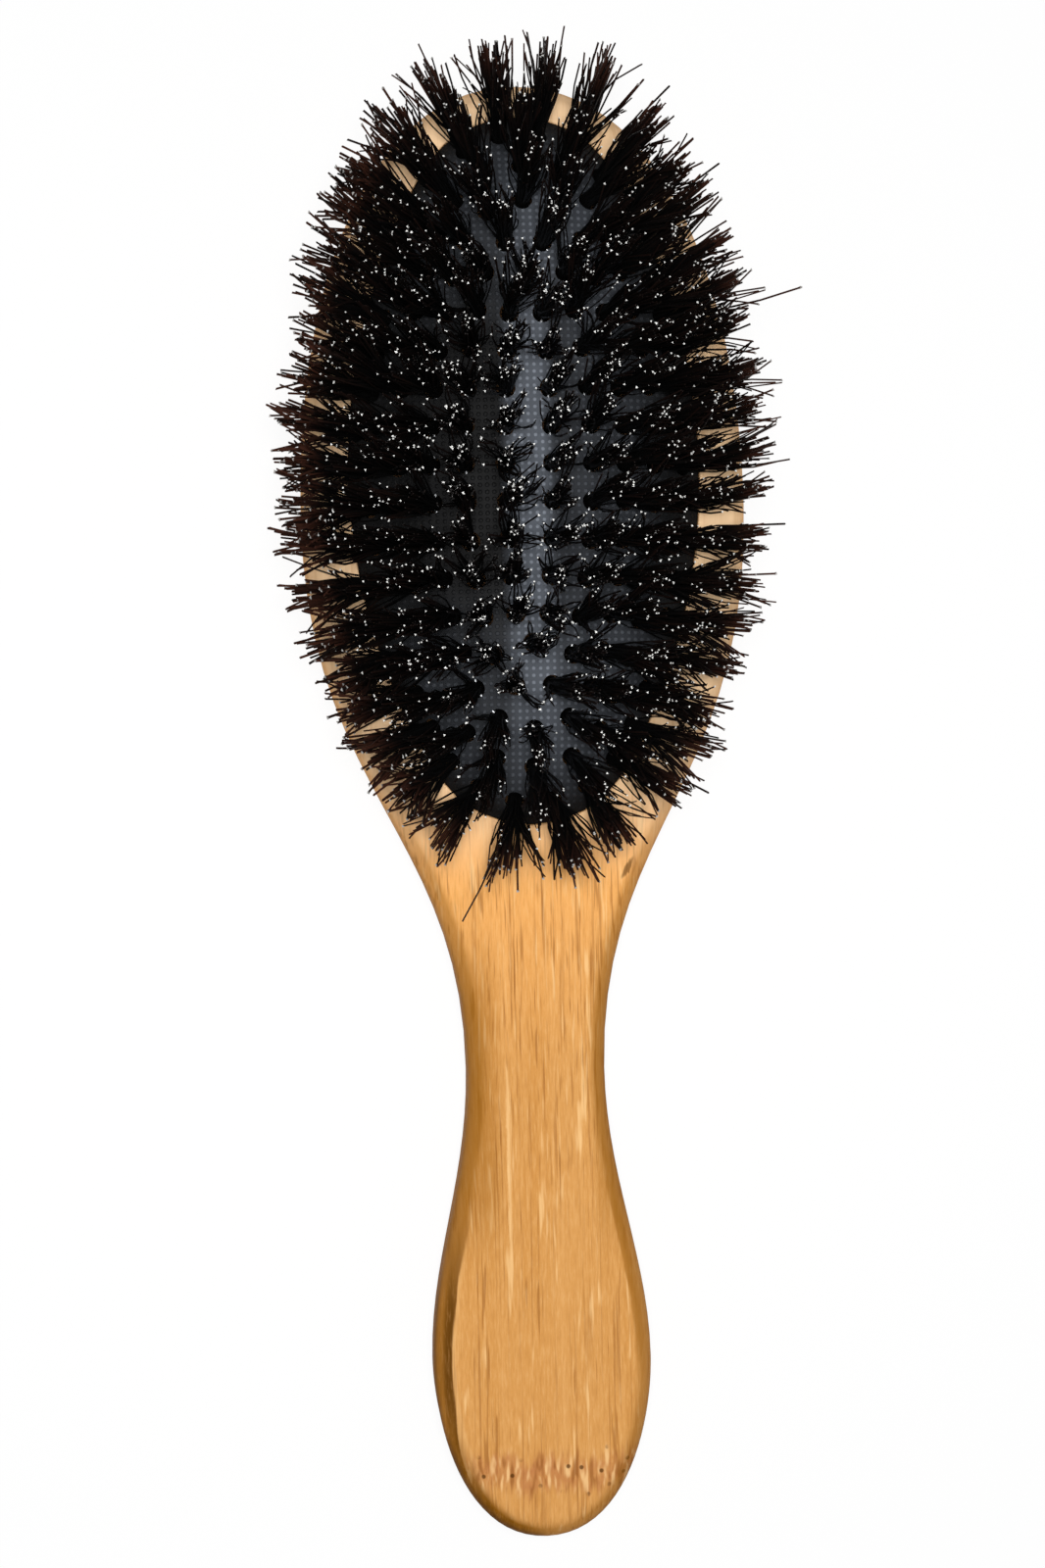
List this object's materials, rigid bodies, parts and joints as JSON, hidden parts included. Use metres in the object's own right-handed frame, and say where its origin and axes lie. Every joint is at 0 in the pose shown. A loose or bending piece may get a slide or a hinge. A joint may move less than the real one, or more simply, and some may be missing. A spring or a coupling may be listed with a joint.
{
  "type": "vanity hairbrush",
  "caption": "Oval hairbrush with a one-piece outline of laminated bamboo, a domed air cushion of rubber and rings of splayed natural bristle tufts.",
  "frame": {"origin": "on the flat back, under the middle of the cushion", "axes": "+Z out of the bristle side, +Y to the top of the head, so the handle points along -Y, +X to the right seen from the bristle side"},
  "size_m": [0.0754, 0.2282, 0.0425],
  "materials": {
    "bamboo_face": "satin lacquer over fine long grain",
    "bamboo_core": "satin lacquer, darker edge grain",
    "rubber": "matte, with a fine woven imprint",
    "bristle": "natural black bristle with a faint brown sheen",
    "wire": "plain drawn wire"
  },
  "bodies": {
    "wood": {"front_ply": "bamboo_face", "core_ply": "bamboo_core", "back_ply": "bamboo_face", "cushion": "rubber"},
    "ring_1": {"bristles_ring_1": "bristle", "anchor_pins_ring_1": "wire"},
    "ring_2": {"bristles_ring_2": "bristle", "anchor_pins_ring_2": "wire"},
    "ring_3": {"bristles_ring_3": "bristle", "anchor_pins_ring_3": "wire"},
    "ring_4": {"bristles_ring_4": "bristle", "anchor_pins_ring_4": "wire"},
    "ring_5": {"bristles_ring_5": "bristle", "anchor_pins_ring_5": "wire"}
  },
  "joints": [
    {"name": "press_ring_1", "type": "slide", "parent": "wood", "child": "ring_1", "axis": [0, 0, -1], "range_m": [0, 0.004], "stiffness_N_per_m": 400, "deforming": ["cushion"]},
    {"name": "press_ring_2", "type": "slide", "parent": "wood", "child": "ring_2", "axis": [0, 0, -1], "range_m": [0, 0.00379], "stiffness_N_per_m": 400},
    {"name": "press_ring_3", "type": "slide", "parent": "wood", "child": "ring_3", "axis": [0, 0, -1], "range_m": [0, 0.00327], "stiffness_N_per_m": 400},
    {"name": "press_ring_4", "type": "slide", "parent": "wood", "child": "ring_4", "axis": [0, 0, -1], "range_m": [0, 0.00238], "stiffness_N_per_m": 400},
    {"name": "press_ring_5", "type": "slide", "parent": "wood", "child": "ring_5", "axis": [0, 0, -1], "range_m": [0, 0.00107], "stiffness_N_per_m": 400}
  ],
  "couplings": [
    {"joint": "press_ring_2", "follows": "press_ring_1", "ratio": 0.9467},
    {"joint": "press_ring_3", "follows": "press_ring_1", "ratio": 0.8174},
    {"joint": "press_ring_4", "follows": "press_ring_1", "ratio": 0.5947},
    {"joint": "press_ring_5", "follows": "press_ring_1", "ratio": 0.265}
  ]
}
